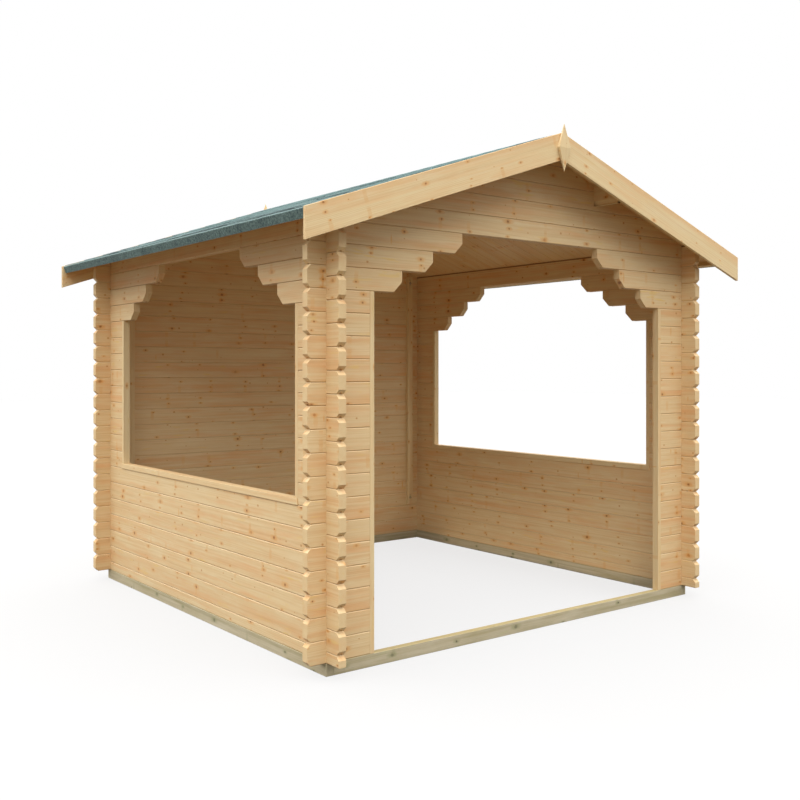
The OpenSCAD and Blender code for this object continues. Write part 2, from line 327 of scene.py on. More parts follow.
@dataclass(frozen=True)
class Lay:
    """How the pieces of one material lie, so that each gets its own grain."""

    grain: Grain
    pitch: float = 0.0
    start: float = 0.0
    split_x: bool = False
    split_y: bool = False
    seed: float = 0.0
    groove: float = 0.0
    # Share of the dark seam on outer faces: partly a dark joint, partly painted shadow in the groove
    seam: float = 0.86
    # Height above which a painted shadow band darkens the piece
    shadow_band_above: float = 0.0
    blush_above: float = 0.0


@dataclass(frozen=True)
class WoodFinish:
    """Planed softwood with growth rings, blushes of colour, knots and end grain."""

    name: str
    pale: Colour
    # The pale cream: the wood's own pale patches and streaks, and also a painted highlight on the upper
    # edge of log joints
    cream_and_highlight: Colour
    rose: Colour
    late: Colour
    honey: Colour
    stain: Colour
    knot: Colour
    core: Colour
    # The seam colour: partly the joints' own dark colour, partly painted shadow in the grooves
    seam: Colour
    end: Colour
    top: Colour
    top_share: float = 0.0
    roughness: float = 0.60
    relief: float = 0.0004
    shine_spread: float = 0.16
    knot_shine: float = 0.10
    ring_relief: float = 0.35
    specular: float = 0.35
    run_stride: float = 43.0
    wide_stride: float = 17.0
    # Growth rings and streaks
    heart_aside: float = 0.16
    heart_up: float = 0.12
    knot_sway: float = 0.003
    ring: float = 0.0052
    ring_share: float = 0.38
    ring_sharpness: float = 2.2
    ring_sway: float = 0.016
    streak_share: float = 0.28
    slow: Pattern = Pattern(0.7, 6.0)
    drift: Pattern = Pattern(2.4, 5.0)
    drift_reach: float = 0.014
    streaks: Pattern = Pattern(0.55, 42.0, 3.0, 0.62)
    fibres: Pattern = Pattern(3.0, 250.0, 2.0, 0.60)
    fibre_rings: Rise = Rise(0.25, 0.75)
    dark_streaks: Rise = Rise(0.50, 0.76)
    dark_fibres: Rise = Rise(0.50, 0.85, 0.20)
    piece_shade: float = 0.07
    # Blushes, pale patches and resin
    blush: float = 1.0
    piece_blush: float = 0.44
    blush_floor: float = 0.24
    patches: Pattern = Pattern(3.0, 16.0, 4.0, 0.62)
    sweeps: Pattern = Pattern(0.9, 14.0, 3.0, 0.58, shift_along=5.0)
    resin: Pattern = Pattern(6.0, 34.0, 2.0, 0.50, shift_across=9.0)
    patch_blush: Rise = Rise(0.44, 0.68, 0.42)
    sweep_blush: Rise = Rise(0.47, 0.68, 0.62)
    streak_blush: Rise = Rise(0.42, 0.72, 0.22)
    edge_blush: float = 1.1
    edge_fade: float = 0.035
    patch_cream: Rise = Rise(0.50, 0.30, 0.55)
    streak_cream: Rise = Rise(0.48, 0.28, 0.45)
    resin_spots: Rise = Rise(0.61, 0.74)
    resin_share: float = 0.75
    # Knots
    ragged_pace: float = 75.0
    ragged_least: float = 0.6
    ragged_spread: float = 0.8
    whorl_pace: float = 0.290
    whorl_row: float = 0.042
    whorl_share: float = 0.44
    whorl_link: float = 0.36
    whorl_shift: float = 0.40
    whorl_start: float = 0.25
    whorl_slip: float = 0.10
    row_start: float = 0.33
    row_slip: float = 0.34
    link_start: float = 0.30
    knot_length: float = 0.7
    halo_length: float = 0.22
    cored_above: float = 0.40
    heart_least: float = 0.55
    knot_low: float = 0.0042
    knot_high: float = 0.0115
    pin_cell: float = 0.150
    pin_length: float = 0.8
    pin_share: float = 0.55
    pin_low: float = 0.0026
    pin_high: float = 0.0062
    spike_cell: float = 0.300
    spike_width: float = 0.24
    spike_share: float = 0.45
    spike_low: float = 0.003
    spike_more: float = 0.004
    cell_edge: Rise = Rise(0.50, 0.34)
    halo_edge: Rise = Rise(2.6, 0.5)
    heart_edge: Rise = Rise(1.40, 0.50)
    core_edge: Rise = Rise(0.80, 0.25)
    link_edge: Rise = Rise(0.016, 0.007)
    link_ends: Rise = Rise(0.50, 0.18, 0.45)
    pin_edge: Rise = Rise(1.5, 0.5)
    spike_edge: Rise = Rise(1.6, 0.5)
    halo_stain: float = 0.70
    spike_stain: float = 0.62
    pin_stain: float = 0.50
    heart_share: float = 0.80
    pin_heart: float = 0.60
    core_share: float = 0.70
    # Faces, ends, joints with their painted shadow and highlight, and a painted shadow band
    turned: Rise = Rise(0.60, 0.80)
    flank: Rise = Rise(0.95, 0.80)
    upper: Rise = Rise(0.5, 0.9)
    end_share: float = 0.50
    end_rings: float = 0.25
    edge_none: float = 1.1
    edge_full: float = 0.6
    board_outer: float = 0.3
    inner_seam_and_shadow: float = 0.14
    board_seam_and_shadow: float = 0.40
    lit_edge: float = 0.80
    # Painted shadow band along the top of a piece
    shadow_band_share: float = 0.85
    shadow_band_blur: float = 0.0004

    def axes(self, graph: Graph, grain: Grain) -> Three:
        """Coordinates along the fibres, across the wide face and through the thickness.

        Args:
            graph: The material's graph.
            grain: The way of the fibres.

        Returns:
            The three coordinates in metres.
        """
        if grain in (Grain.RIGHT_SLOPE, Grain.LEFT_SLOPE):
            return graph.place(-ROOF_PITCH if grain is Grain.RIGHT_SLOPE else ROOF_PITCH)
        x, y, z = graph.place()
        if grain is Grain.BARGE:
            run, sine, cosine = abs(x), math.sin(ROOF_PITCH), math.cos(ROOF_PITCH)
            return run * cosine - z * sine, run * sine + z * cosine, y
        return {Grain.ALONG_X: (x, z, y), Grain.ALONG_Y: (y, z, x), Grain.ALONG_Z: (z, x, y)}[grain]

    def seed(self, graph: Graph, lay: Lay, across: Value) -> Link:
        """A number that belongs to one log or board.

        Args:
            graph: The material's graph.
            lay: How the pieces lie.
            across: Coordinate across the wide face.

        Returns:
            The number.
        """
        number: Link = lay.seed + 0.5
        x, y, _ = graph.place()
        if lay.pitch:
            number = ((across - lay.start) / lay.pitch).floor() + number
        for split, place, stride in ((lay.split_x, x, 37.0), (lay.split_y, y, 71.0)):
            if split:
                number = (place > 0.0) * stride + number
        return number

    def whorls(self, graph: Graph, run: Value, wide: Value, ragged: Value) -> Three:
        """Knots in rows across the piece, as branches grow in rings up a trunk.

        Args:
            graph: The material's graph.
            run: Place along the fibres.
            wide: Place across the face.
            ragged: Noise that makes the knots uneven.

        Returns:
            Shares of the stain around the knots, of the knots and of their cores.
        """
        ring, row = run / self.whorl_pace, wide / self.whorl_row
        ring_number, row_number = ring.floor(), row.floor()
        ring_part, row_part = ring - ring_number, row - row_number
        shift, _, _ = graph.chance(ring_number + 0.5)
        live, slip, aside = graph.chance(ring_number * 57.0 + row_number * 3.17 + 0.5)
        kept = live < self.whorl_share
        luck = live / self.whorl_share
        girth = luck * luck * luck * (self.knot_high - self.knot_low) + self.knot_low
        beside = ring_part - shift * self.whorl_shift
        down = (beside - slip * self.whorl_slip - self.whorl_start) * self.whorl_pace
        over = (row_part - aside * self.row_slip - self.row_start) * self.whorl_row
        off = (down * down * self.knot_length + over * over).root() * ragged / girth
        far = (down * down * self.halo_length + over * over).root() * ragged / girth
        inside = self.cell_edge.of(abs(ring_part - 0.5)) * self.cell_edge.of(abs(row_part - 0.5))
        core = self.core_edge.of(off) * (slip > self.cored_above)
        pair = (row * 0.5).floor()
        linked, _, _ = graph.chance(ring_number * 23.0 + pair * 5.39 + 0.25)
        line = abs((beside - self.link_start) * self.whorl_pace * ragged)
        link = self.link_edge.of(line) * self.link_ends.of(abs(row * 0.5 - pair - 0.5))
        heart = self.heart_edge.of(off) * (aside * (1.0 - self.heart_least) + self.heart_least)
        halo = self.halo_edge.of(far) * inside * kept + link * (linked < self.whorl_link)
        return halo, heart * kept, core * kept

    def pins(self, graph: Graph, run: Value, wide: Value, ragged: Value) -> Tuple[Value, Value]:
        """Small knots scattered between the rows, and thin ones cut lengthwise.

        Args:
            graph: The material's graph.
            run: Place along the fibres.
            wide: Place across the face.
            ragged: Noise that makes the knots uneven.

        Returns:
            Shares of the small knots and of the ones cut lengthwise.
        """
        place = graph.vector(run * (self.pin_length / self.pin_cell), wide / self.pin_cell)
        away, luck, live = graph.cells(place)
        girth = luck * luck * (self.pin_high - self.pin_low) + self.pin_low
        pin = self.pin_edge.of(away * self.pin_cell * ragged / girth) * (live < self.pin_share)
        aside = wide * (self.spike_width / self.spike_cell) + 3.1
        away, luck, live = graph.cells(graph.vector(run / self.spike_cell + 7.3, aside))
        girth = luck * self.spike_more + self.spike_low
        spike = self.spike_edge.of(away * self.spike_cell * ragged / girth)
        return pin, spike * (live < self.spike_share)

    def rings(
        self, lay: Lay, across: Value, depth: Value, sway: Value, two: Value, three: Value
    ) -> Value:
        """Late wood of the growth rings around a heart beside the piece.

        Args:
            lay: How the pieces lie.
            across: Coordinate across the wide face.
            depth: Coordinate through the thickness.
            sway: Length by which the rings bend.
            two: A random number of the piece.
            three: Another one.

        Returns:
            The share of late wood.
        """
        into = depth - depth.floor() - 0.5 - (three - 0.5) * self.heart_aside
        middle = across - across.floor() - 0.5
        if lay.pitch:
            over = across - lay.start
            middle = over - (over / lay.pitch).floor() * lay.pitch - lay.pitch / 2
        up = middle - (two - 0.5) * self.heart_up
        radius = (up * up + into * into).root() + sway
        return ((radius * (2.0 * math.pi / self.ring)).sine() * 0.5 + 0.5) ** self.ring_sharpness

    def joints(
        self, graph: Graph, body: Link, lay: Lay, across: Value, upright: Value, outer: Link
    ) -> Link:
        """Paints the joints: a dark lower edge, partly the joint's own colour and partly painted shadow
        in the groove, and on the upper edge below it a painted highlight on level logs and painted shadow
        on other pieces.

        Args:
            graph: The material's graph.
            body: The colour so far.
            lay: How the pieces lie.
            across: Coordinate across the wide face.
            upright: One on faces that don't lie level.
            outer: One on faces that look out of the building.

        Returns:
            The colour.
        """
        place = (across - lay.start) / lay.pitch
        high = (place - place.floor()) * lay.pitch
        edge = Rise(lay.groove * self.edge_none, lay.groove * self.edge_full)
        seam_shadow_edge, painted_upper_edge = edge.of(high) * upright, edge.of(lay.pitch - high) * upright
        # Painted shadow in the groove on top of the dark joint, stronger on outer faces
        body = graph.mix(body, self.seam, seam_shadow_edge * outer * lay.seam + seam_shadow_edge * self.inner_seam_and_shadow)
        # Painted highlight on the up-facing chamfer of level logs, painted shadow on the upper edge of
        # boards
        if lay.grain in LEVEL_GRAINS:
            return graph.mix(body, self.cream_and_highlight, painted_upper_edge * self.lit_edge)
        return graph.mix(body, self.seam, painted_upper_edge * self.board_seam_and_shadow)

    def material(self, lay: Lay) -> Material:
        """Builds the wood for pieces that lie in one way.

        Args:
            lay: How the pieces lie.

        Returns:
            The material.
        """
        graph = Graph(f"{self.name} {lay.grain.value} {lay.seed:g}")
        along, across, depth = self.axes(graph, lay.grain)
        one, two, three = graph.chance(self.seed(graph, lay, across))
        nx, ny, nz = graph.normal()
        normals = {Grain.ALONG_X: (nx, nz), Grain.ALONG_Y: (ny, nz), Grain.ALONG_Z: (nz, nx)}
        straight = normals.get(lay.grain)
        face = across
        flank: Link = 1.0
        if straight is not None:
            face = across + self.turned.of(abs(straight[1])) * (depth - across)
            flank = self.flank.of(abs(straight[0]))
        # Each piece reads its own stretch of the pattern
        run, wide = along + one * self.run_stride, face + two * self.wide_stride
        ragged = graph.noise(graph.vector(run, wide, depth), self.ragged_pace)
        ragged = ragged * self.ragged_spread + self.ragged_least
        halo, heart, core = self.whorls(graph, run, wide, ragged)
        pin, spike = self.pins(graph, run, wide, ragged)
        sway = self.slow.of(graph, run, wide, depth) * self.ring_sway + halo * self.knot_sway
        late = self.rings(lay, across, depth, sway, two, three)

        wide = wide + self.drift.of(graph, run, wide, depth) * self.drift_reach
        spots = (self.streaks, self.fibres, self.patches, self.sweeps, self.resin)
        streak, fine, patch, sweep, resin = (spot.of(graph, run, wide, depth) for spot in spots)
        warm = self.patch_blush.of(patch) + self.sweep_blush.of(sweep) + self.streak_blush.of(streak)
        if lay.blush_above:
            warm = warm + across.step(lay.blush_above, lay.blush_above + self.edge_fade) * self.edge_blush
        warm = (warm + one * self.piece_blush - self.blush_floor) * self.blush
        stained = halo * self.halo_stain + spike * self.spike_stain + pin * self.pin_stain
        body = graph.mix(self.pale, self.rose, warm)
        for colour, share in (
            (self.cream_and_highlight, self.patch_cream.of(patch) + self.streak_cream.of(streak)),
            (self.honey, self.resin_spots.of(resin) * two * self.resin_share),
            (self.late, late * self.fibre_rings.of(fine) * self.ring_share + three * self.piece_shade),
            (self.late, self.dark_streaks.of(streak) * self.streak_share + self.dark_fibres.of(fine)),
            (self.stain, stained * flank),
            (self.knot, (heart * self.heart_share + pin * self.pin_heart) * flank),
            (self.core, core * flank * self.core_share),
        ):
            body = graph.mix(body, colour, share)
        if straight is not None:
            body = graph.mix(body, self.end, (1.0 - flank) * (late * self.end_rings + self.end_share))
        # Dark joints with painted shadow in the grooves, and a painted highlight on the log chamfers
        if lay.groove:
            outer: Link = self.board_outer
            if lay.grain in LEVEL_GRAINS:
                outer = depth * (ny if lay.grain is Grain.ALONG_X else nx) > 0.0
            body = self.joints(graph, body, lay, across, self.flank.of(abs(nz)), outer)
        # Painted shadow: a near-black band along the top of the piece, for the shadow where the eave logs
        # meet the roof boards
        if lay.shadow_band_above:
            shadow_band = Rise(lay.shadow_band_above - self.shadow_band_blur, lay.shadow_band_above + self.shadow_band_blur, self.shadow_band_share)
            body = graph.mix(body, self.core, shadow_band.of(across))
        if self.top_share:
            body = graph.mix(body, self.top, self.upper.of(nz) * self.top_share)
        shine = fine * self.shine_spread + (self.roughness - self.shine_spread / 2)
        shine = shine - halo * self.knot_shine
        height = late * self.ring_relief + fine * (1.0 - self.ring_relief)
        return graph.close(body, shine, height, self.relief, specular=self.specular)


@dataclass(frozen=True)
class FeltFinish:
    """Bitumen felt under a coat of mineral granules."""

    name: str
    base: Colour
    dark: Colour
    light: Colour
    # The pale cut colour is a painted sheen, laid on the tabs' edges and, by top_share, on up-facing
    # faces
    cut: Colour
    top_share: float = 0.0
    roughness: float = 0.85
    relief: float = 0.0016
    grit_pace: float = 480.0
    clump_pace: float = 95.0
    cloud_pace: float = 7.0
    grit_weight: float = 0.90
    clump_weight: float = 3.40
    cloud_weight: float = 0.80
    tone_middle: float = 2.95
    dark_tabs: float = 0.30
    dark_edge: float = 0.90
    shine_spread: float = 0.10
    tab_spread: float = 0.50
    from_dark: Rise = Rise(-0.55, -0.02)
    to_light: Rise = Rise(0.02, 0.62)
    # Where the painted sheen lies: up-facing faces, and the tabs' edges
    sheen_on_top: Rise = Rise(0.25, 0.70)
    on_edge: Rise = Rise(0.75, 0.45, 0.85)

    def material(self, label: str, streaks: float, tint: Optional[str] = None) -> Material:
        """Builds the felt.

        Args:
            label: What the felt covers.
            streaks: Streaks to the metre.
            tint: Name of the attribute that holds each tab's tint; such pieces also get a painted sheen
                on their edges, dark on some tabs.

        Returns:
            The material.
        """
        graph = Graph(f"{self.name} {label}")
        x, y, z = graph.place()
        _, _, nz = graph.normal()
        place = graph.vector(x, y, z)
        grit = graph.noise(place, self.grit_pace, 2.0, 0.7)
        clump = graph.noise(place, self.clump_pace, 3.0, 0.65)
        wash = graph.noise(graph.vector(x * 2.0, y * streaks, z * 5.0), 1.0, 3.0, 0.6)
        cloud = graph.noise(place, self.cloud_pace, 3.0, 0.6)
        tone = grit * self.grit_weight + clump * self.clump_weight
        tone = tone + wash * self.cloud_weight + cloud * self.cloud_weight - self.tone_middle
        shade: Link = 0.5
        if tint:
            node = graph.node("ShaderNodeAttribute", {"attribute_name": tint})
            shade = Value(graph, node.outputs["Fac"])
            tone = tone + shade * self.tab_spread - self.tab_spread / 2
        body = graph.mix(self.dark, self.base, self.from_dark.of(tone))
        body = graph.mix(body, self.light, self.to_light.of(tone))
        if self.top_share:
            # Painted sheen on up-facing faces
            body = graph.mix(body, self.cut, self.sheen_on_top.of(nz) * self.top_share)
        if tint:
            # Painted sheen on the tabs' edges, dark on some tabs instead
            edge = graph.mix(self.cut, self.dark, (shade < self.dark_tabs) * self.dark_edge)
            body = graph.mix(body, edge, self.on_edge.of(nz))
        shine = grit * self.shine_spread + (self.roughness - self.shine_spread / 2)
        return graph.close(body, shine, grit * 0.5 + clump * 0.5, self.relief)


@dataclass(frozen=True)
class ZincFinish:
    """Yellow zinc plating on the bolts."""

    name: str = "yellow zinc plate"
    pale: Colour = (0.62, 0.50, 0.33)
    dull: Colour = (0.44, 0.34, 0.21)
    spangle_pace: float = 420.0
    dulled: Rise = Rise(0.35, 0.70)
    roughness: float = 0.55
    shine_spread: float = 0.25
    relief: float = 0.0001

    def material(self) -> Material:
        """Builds the plating.

        Returns:
            The material.
        """
        graph = Graph(self.name)
        spangle = graph.noise(graph.vector(*graph.place()), self.spangle_pace)
        body = graph.mix(self.pale, self.dull, self.dulled.of(spangle))
        shine = spangle * self.shine_spread + self.roughness
        return graph.close(body, shine, spangle, self.relief, metal=1.0)


SPRUCE = WoodFinish(
    name="planed spruce",
    pale=(0.785, 0.588, 0.328),
    cream_and_highlight=(0.825, 0.662, 0.405),
    rose=(0.775, 0.462, 0.222),
    late=(0.600, 0.380, 0.172),
    honey=(0.800, 0.560, 0.200),
    stain=(0.730, 0.385, 0.125),
    knot=(0.480, 0.195, 0.060),
    core=(0.235, 0.090, 0.030),
    seam=(0.370, 0.170, 0.065),
    end=(0.765, 0.572, 0.316),
    top=(0.780, 0.570, 0.305),
)
# Paler than the log spruce: partly the boards' own colour, partly painted light for the open barge boards
TRIM_SPRUCE = replace(
    SPRUCE,
    name="trim spruce",
    pale=(0.815, 0.645, 0.370),
    cream_and_highlight=(0.840, 0.690, 0.430),
    rose=(0.800, 0.545, 0.285),
    whorl_pace=0.23,
    whorl_share=0.34,
    whorl_link=0.12,
    knot_low=0.0028,
    knot_high=0.0072,
    pin_low=0.0020,
    pin_high=0.0046,
)
# A warmer, more orange copy of the spruce for the roof boards: painted warm shade on the ceiling seen
# from below
CEILING_SPRUCE_PAINTED_SHADE = replace(
    SPRUCE,
    name="ceiling spruce",
    pale=(0.760, 0.525, 0.255),
    cream_and_highlight=(0.780, 0.565, 0.300),
    rose=(0.750, 0.445, 0.190),
)
TREATED = WoodFinish(
    name="treated softwood",
    pale=(0.610, 0.535, 0.375),
    cream_and_highlight=(0.670, 0.600, 0.450),
    rose=(0.480, 0.410, 0.245),
    late=(0.285, 0.250, 0.130),
    honey=(0.560, 0.520, 0.310),
    stain=(0.340, 0.325, 0.175),
    knot=(0.130, 0.120, 0.070),
    core=(0.060, 0.056, 0.038),
    seam=(0.060, 0.056, 0.038),
    end=(0.380, 0.330, 0.200),
    top=(0.545, 0.436, 0.205),
    top_share=0.70,
    blush=1.2,
    ring_share=0.50,
    streak_share=0.50,
    whorl_pace=0.40,
    whorl_share=0.52,
    whorl_link=0.20,
    knot_low=0.006,
    knot_high=0.013,
    pin_share=0.15,
    roughness=0.75,
    relief=0.0010,
)
FELT = FeltFinish(
    name="felt",
    base=(0.136, 0.209, 0.208),
    dark=(0.042, 0.068, 0.073),
    light=(0.255, 0.358, 0.355),
    # Pale teal laid on the tabs' edges as a painted sheen
    cut=(0.370, 0.515, 0.512),
)
EDGE_FELT = replace(
    FELT,
    name="edge felt",
    base=(0.092, 0.145, 0.138),
    dark=(0.026, 0.050, 0.055),
    light=(0.165, 0.250, 0.240),
    # Painted sheen: the pale colour on the eave strips' up-facing faces
    top_share=0.55,
)
UNDERLAY_FELT = replace(EDGE_FELT, name="underlay", base=FELT.dark, top_share=0.0)


def add_object(name: str, data: bpy.types.ID) -> Object:
    """Puts an object into the scene.

    Args:
        name: Name of the object.
        data: Its mesh, lamp or camera.

    Returns:
        The object.
    """
    made = bpy.data.objects.new(name, data)
    bpy.context.scene.collection.objects.link(made)
    return made


class GeoTree(NodeSet):
    """A Geometry Nodes tree with named inputs."""

    def __init__(self, name: str) -> None:
        """Makes a tree that takes and gives geometry."""
        super().__init__(bpy.data.node_groups.new(name, "GeometryNodeTree"))
        for way in ("INPUT", "OUTPUT"):
            self.tree.interface.new_socket("Geometry", in_out=way, socket_type="NodeSocketGeometry")
        self.entry = self.node("NodeGroupInput")
        self.leave = self.node("NodeGroupOutput")
        self.identifiers: Dict[str, str] = {}

    @property
    def start(self) -> NodeSocket:
        """The geometry that comes in."""
        return self.entry.outputs["Geometry"]

    def size(self, name: str, kind: str = "NodeSocketFloat") -> NodeSocket:
        """Adds a named input.

        Args:
            name: Name of the size.
            kind: Blender's name of the socket type.

        Returns:
            The socket that carries it.
        """
        made = self.tree.interface.new_socket(name, in_out="INPUT", socket_type=kind)
        self.identifiers[name] = made.identifier
        return self.entry.outputs[name]

    def maths(self, operation: str, first: Any, second: Any) -> NodeSocket:
        """Adds a Math node and returns its result."""
        return self.node("ShaderNodeMath", {"operation": operation}, {0: first, 1: second}).outputs[0]

    def vector(self, parts: Mapping[int, Any]) -> NodeSocket:
        """A vector from the parts that are given by number."""
        return self.node("ShaderNodeCombineXYZ", None, parts).outputs[0]

    def attribute(self, name: str) -> NodeSocket:
        """Reads a named number of the points."""
        node = self.node("GeometryNodeInputNamedAttribute", {"data_type": "FLOAT"}, {"Name": name})
        return node.outputs["Attribute"]

    def moved(self, geometry: NodeSocket, by: NodeSocket) -> NodeSocket:
        """Moves geometry by a vector."""
        inputs = {"Geometry": geometry, "Translation": by}
        return self.node("GeometryNodeTransform", None, inputs).outputs[0]

    def spread(self, points: Any, instance: Any, **settings: Any) -> NodeSocket:
        """Sets an instance on every point, with a Rotation or a Scale."""
        inputs = {"Points": points, "Instance": instance, **settings}
        return self.node("GeometryNodeInstanceOnPoints", None, inputs).outputs[0]

    def realize(self, geometry: NodeSocket) -> NodeSocket:
        """Turns instances into a plain mesh."""
        return self.node("GeometryNodeRealizeInstances", None, {0: geometry}).outputs[0]

    def finish(self, geometry: NodeSocket, material: Material) -> "GeoTree":
        """Realizes the instances and sets their material.

        Args:
            geometry: What the tree has made.
            material: The material of the whole result.

        Returns:
            The tree itself.
        """
        inputs = {"Geometry": self.realize(geometry), "Material": material}
        dressed = self.node("GeometryNodeSetMaterial", None, inputs)
        self.tree.links.new(dressed.outputs[0], self.leave.inputs["Geometry"])
        return self

    def run(self, source: Mesh, sizes: Mapping[str, Any]) -> Mesh:
        """Runs the tree on a mesh and returns the plain mesh that it makes.

        Args:
            source: The points or mesh that goes in.
            sizes: Values of the named inputs.

        Returns:
            The new mesh.
        """
        carrier = add_object("carrier", source)
        modifier = carrier.modifiers.new("tree", "NODES")
        modifier.node_group = self.tree
        for name, value in sizes.items():
            modifier[self.identifiers[name]] = value
        graph = bpy.context.evaluated_depsgraph_get()
        made = bpy.data.meshes.new_from_object(carrier.evaluated_get(graph))
        carrier.modifiers.remove(modifier)
        bpy.data.objects.remove(carrier)
        return made


def points_mesh(name: str, points: Sequence[Point], numbers: Mapping[str, Sequence[float]]) -> Mesh:
    """Loose points with numbers.

    Args:
        name: Name of the mesh.
        points: The places.
        numbers: Attributes by name, one value to a point.

    Returns:
        The mesh.
    """
    mesh = bpy.data.meshes.new(name)
    mesh.from_pydata(list(points), [], [])
    for key, values in numbers.items():
        mesh.attributes.new(key, "FLOAT", "POINT").data.foreach_set("value", list(values))
    return mesh


def loft(work: bmesh.types.BMesh, rings: Sequence[Sequence[Point]]) -> None:
    """Adds a closed skin over a row of rings.

    Args:
        work: The mesh that it goes into.
        rings: Rings with equal numbers of corners.
    """
    rows = [[work.verts.new(corner) for corner in ring] for ring in rings]
    count = len(rows[0])
    for first, second in zip(rows, rows[1:]):
        for i in range(count):
            j = (i + 1) % count
            work.faces.new((first[i], first[j], second[j], second[i]))
    work.faces.new(rows[0])
    work.faces.new(rows[-1])


def closed_mesh(name: str, bodies: Sequence[Sequence[Sequence[Point]]]) -> Mesh:
    """A mesh of closed lofted bodies with their faces outward.

    Args:
        name: Name of the mesh.
        bodies: The rings of each body.

    Returns:
        The mesh.
    """
    work = bmesh.new()
    for rings in bodies:
        loft(work, rings)
    bmesh.ops.recalc_face_normals(work, faces=work.faces)
    mesh = bpy.data.meshes.new(name)
    work.to_mesh(mesh)
    work.free()
    return mesh


def add_piece(
    name: str,
    mesh: Mesh,
    material: Optional[Material] = None,
    replaced: Iterable[str] = (),
) -> None:
    """Puts a finished mesh into the scene as a piece of the gazebo.

    Args:
        name: Name of the piece.
        mesh: Its mesh, already in place.
        material: Its material, unless the mesh has one.
        replaced: CAD nodes that it stands for.
    """
    mesh.name = name
    if material is not None:
        mesh.materials.clear()
        mesh.materials.append(material)
    made = add_object(name, mesh)
    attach(made, BODY)
    nodes = list(replaced)
    if nodes:
        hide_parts(*nodes)
    LOG.info("piece %s: %d faces", name, len(mesh.polygons))


def eased_copy(node: Object, width: float, end_cut: float = 0.0) -> Mesh:
    """Copies a CAD node's mesh with its sharp edges eased.

    Args:
        node: The CAD node's object.
        width: Width of the easing in metres.
        end_cut: Size of the slanting cut under both ends along Y, or 0 for none.

    Returns:
        The new mesh.
    """
    near, flat, sharp, steps = 0.001, math.radians(0.5), math.radians(20), 2
    work = bmesh.new()
    work.from_mesh(node.data)
    bmesh.ops.remove_doubles(work, verts=work.verts, dist=1e-5)
    bmesh.ops.dissolve_limit(work, angle_limit=flat, verts=work.verts, edges=work.edges)
    if end_cut:
        low, end = min(v.co.z for v in work.verts), max(abs(v.co.y) for v in work.verts)
        corners = {v for v in work.verts if v.co.z < low + near and abs(v.co.y) > end - near}
        ends = [edge for edge in work.edges if corners.issuperset(edge.verts)]
        bmesh.ops.bevel(work, geom=ends, offset=end_cut, offset_type="OFFSET", segments=1, affect="EDGES")
    edges = [edge for edge in work.edges if edge.is_manifold and edge.calc_face_angle(0.0) > sharp]
    bmesh.ops.bevel(
        work,
        geom=edges,
        offset=width,
        offset_type="OFFSET",
        segments=steps,
        profile=0.5,
        affect="EDGES",
        clamp_overlap=True,
    )
    bmesh.ops.recalc_face_normals(work, faces=work.faces)
    mesh = bpy.data.meshes.new(node.name)
    work.to_mesh(mesh)
    work.free()
    return mesh


@dataclass
class LogWalls:
    """The log walls, dressed so that every log has its own grain."""

    nodes: Mapping[str, Object]
    course: float = 0.114
    groove: float = 0.004
    # Shares of the dark seam on outer faces: partly dark joints, partly painted shadow in the grooves
    front_seam_and_shadow: float = 0.34
    window_seam_and_shadow: float = 0.60
    eave_seam_and_shadow: float = 0.05
    # Depth of the painted shadow band along the top of the eave logs
    eave_shadow_band: float = 0.0095

    def lays(self) -> Dict[str, Tuple[Lay, List[str]]]:
        """The ways in which the logs lie, with the nodes of each.

        Returns:
            Each lay and the names of its nodes, by the name of the group.
        """
        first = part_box("front_wall_left_logs")[0].z
        half = first - self.course / 2
        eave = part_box("left_eave_log")[1].z - self.eave_shadow_band
        kinds = ("logs", "corbels")
        front = Lay(
            Grain.ALONG_X,
            self.course,
            first,
            split_x=True,
            seed=3.0,
            groove=self.groove,
            seam=self.front_seam_and_shadow,
        )
        low = Lay(Grain.ALONG_Y, self.course, half, split_x=True, seed=703.0, groove=self.groove)
        return {
            "front wall": (front, [f"front_wall_{side}_{kind}" for side in SIDES for kind in kinds]),
            "back wall and gables": (
                replace(front, split_x=False, split_y=True, seed=211.0),
                ["back_wall_logs", "back_gable_logs", "front_gable_logs"],
            ),
            "logs beside the windows": (
                replace(low, split_y=True, seed=401.0, seam=self.window_seam_and_shadow),
                [f"{side}_wall_{end}_{kind}" for side in SIDES for end in ENDS for kind in kinds],
            ),
            "logs under the windows": (low, [f"{side}_wall_lower_logs" for side in SIDES]),
            # The eave logs get a painted shadow band where they meet the roof boards
            "eave logs": (
                replace(low, seed=741.0, seam=self.eave_seam_and_shadow, shadow_band_above=eave),
                [f"{side}_eave_log" for side in SIDES],
            ),
        }

    def dress(self) -> None:
        """Gives every log its material."""
        for name, (lay, members) in self.lays().items():
            material = SPRUCE.material(lay)
            for member in members:
                self.nodes[member].data.materials.clear()
                self.nodes[member].data.materials.append(material)
            LOG.info("%s: %d nodes", name, len(members))


@dataclass
class BaseFrame:
    """The treated beams on the ground."""

    nodes: Mapping[str, Object]
    easing: float = 0.003

    def build(self) -> None:
        """Eases the beams and dresses them."""
        for places, lay in (
            (ENDS, Lay(Grain.ALONG_X, split_y=True, seed=5.0)),
            (SIDES, Lay(Grain.ALONG_Y, split_x=True, seed=9.0)),
        ):
            material = TREATED.material(lay)
            for name in [f"{place}_base_beam" for place in places]:
                mesh = eased_copy(self.nodes[name], self.easing)
                add_piece(f"{name}_eased", mesh, material, [name])


